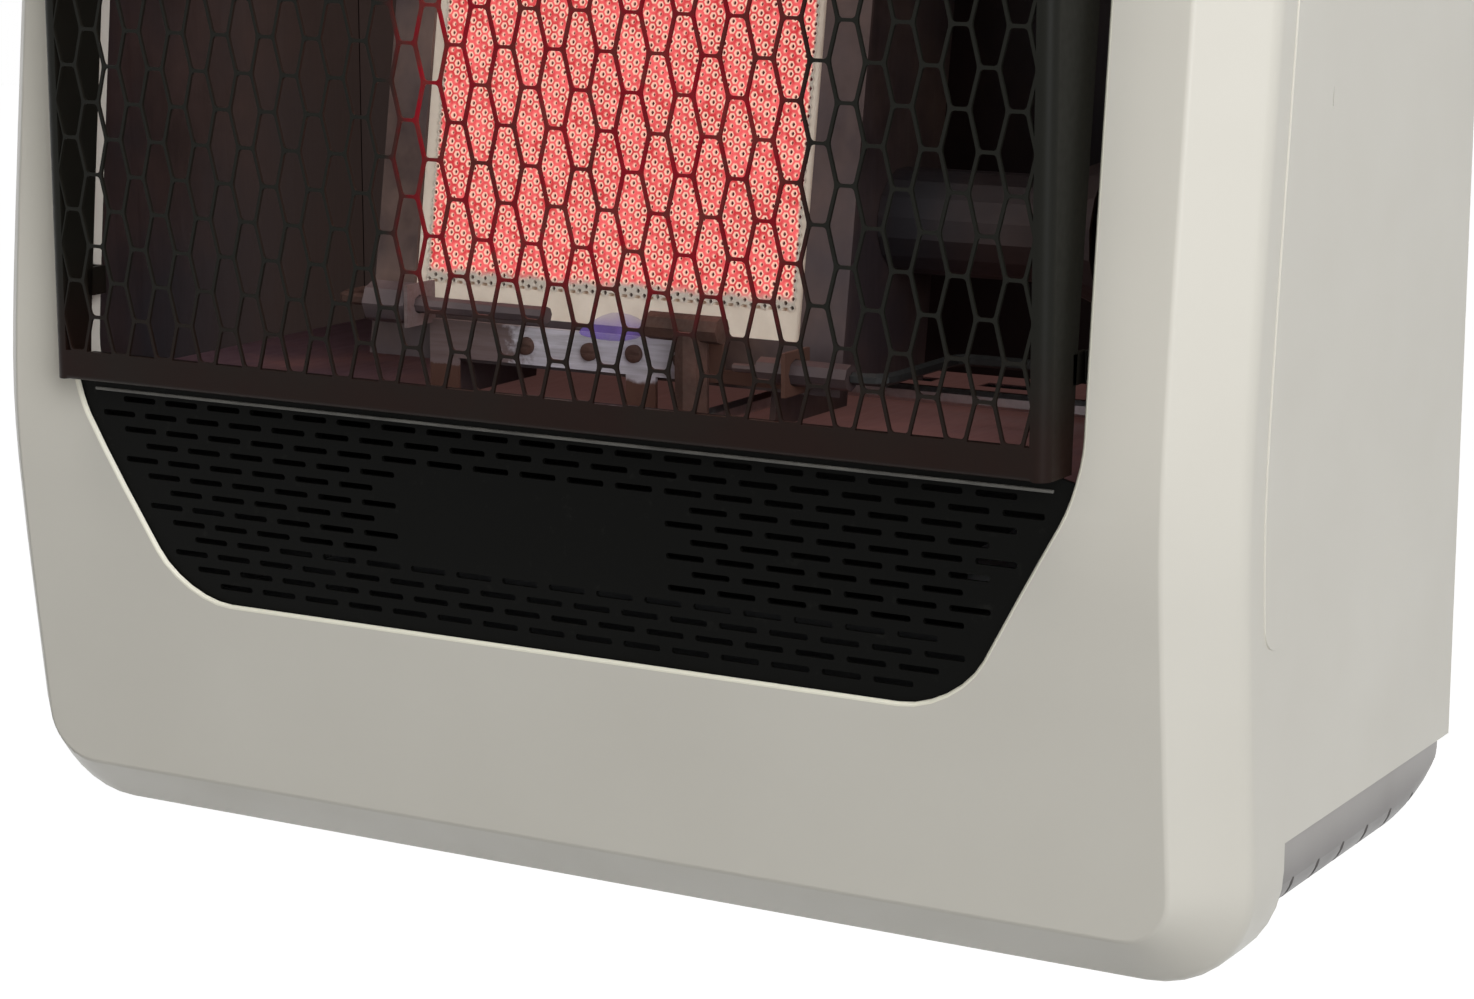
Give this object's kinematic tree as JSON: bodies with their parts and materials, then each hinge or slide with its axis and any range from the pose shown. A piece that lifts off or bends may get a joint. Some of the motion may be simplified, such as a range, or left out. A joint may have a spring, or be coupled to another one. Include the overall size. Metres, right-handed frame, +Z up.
{
  "type": "ventless gas heater",
  "caption": "Wall-hung radiant gas heater: bowed enamelled casing with a hexagon-mesh guard before a ceramic burner plaque, slotted lower grille, top knob and spark igniter.",
  "frame": {"origin": "centre of the wall bracket's back face, in the plane of the wall", "axes": "+X to the right seen from the front, +Y back into the wall, +Z up"},
  "size_m": [0.3376, 0.16, 0.5203],
  "materials": {
    "enamel": "warm white stove enamel, satin",
    "guard_paint": "dark heat-resistant paint, browned by heat",
    "black_paint": "black satin paint",
    "galvanised_steel": "zinc-coated sheet",
    "heated_steel": "sheet browned by heat",
    "aluminised_steel": "aluminised sheet, dull",
    "polished_steel": "bright stamped sheet",
    "ceramic": "matt perforated ceramic, glowing when lit",
    "fibre": "white fibre gasket",
    "brass": "turned brass",
    "spring_steel": "drawn steel wire and turned steel",
    "porcelain": "white glazed porcelain",
    "cast_aluminium": "die-cast, matt",
    "aluminium_tube": "drawn tube, satin",
    "copper_alloy": "drawn copper capillary",
    "black_plastic": "black moulded plastic, satin",
    "cable_silicone": "black silicone sleeve"
  },
  "bodies": {
    "casing": {"front_panel": "enamel", "guard_mesh": "guard_paint", "guard_left_return": "guard_paint", "guard_right_return": "guard_paint", "guard_top_return": "guard_paint", "guard_hem": "guard_paint", "lower_grille": "black_paint", "left_side_panel": "enamel", "right_side_panel": "enamel", "rear_panel": "galvanised_steel", "wall_bracket": "galvanised_steel", "base_pan": "enamel", "top_cover": "enamel", "liner_back": "heated_steel", "liner_left": "heated_steel", "liner_right": "heated_steel", "liner_floor": "heated_steel", "heat_deflector": "aluminised_steel", "ceramic_plaque": "ceramic", "plaque_gasket": "fibre", "plaque_frame": "aluminised_steel", "burner_box": "aluminised_steel", "mixing_tube": "aluminised_steel", "burner_leg_left": "aluminised_steel", "burner_leg_right": "aluminised_steel", "burner_arm": "aluminised_steel", "orifice_holder": "brass", "orifice_plate": "galvanised_steel", "pilot_bracket": "polished_steel", "pilot_burner": "polished_steel", "thermocouple": "spring_steel", "spark_electrode": "porcelain", "gas_valve": "cast_aluminium", "control_shelf": "galvanised_steel", "valve_nut": "brass", "stem_spring": "spring_steel", "igniter_body": "black_plastic", "igniter_spring": "spring_steel", "igniter_nut": "spring_steel", "regulator": "cast_aluminium", "inlet_fitting": "brass", "regulator_bracket": "galvanised_steel", "supply_tube": "aluminium_tube", "burner_tube": "aluminium_tube", "pilot_tube": "aluminium_tube", "thermocouple_lead": "copper_alloy", "igniter_lead": "cable_silicone"},
    "plunger": {"stem_collar": "brass"},
    "knob": {"control_knob": "black_plastic", "valve_stem": "brass"},
    "button": {"igniter_button": "black_plastic"}
  },
  "joints": [
    {"name": "knob_push", "type": "slide", "parent": "casing", "child": "plunger", "axis": [0, 0, -1], "range_m": [0, 0.003], "stiffness_N_per_m": 500, "springref_m": -0.004, "deforming": ["stem_spring"]},
    {"name": "knob_turn", "type": "hinge", "parent": "plunger", "child": "knob", "pos_m": [0.108, -0.036, 0.0823], "axis": [0, 0, 1], "range_deg": [0, 240]},
    {"name": "igniter_push", "type": "slide", "parent": "casing", "child": "button", "axis": [0, 0, -1], "range_m": [0, 0.006], "stiffness_N_per_m": 500, "springref_m": -0.004, "deforming": ["igniter_spring"]}
  ]
}
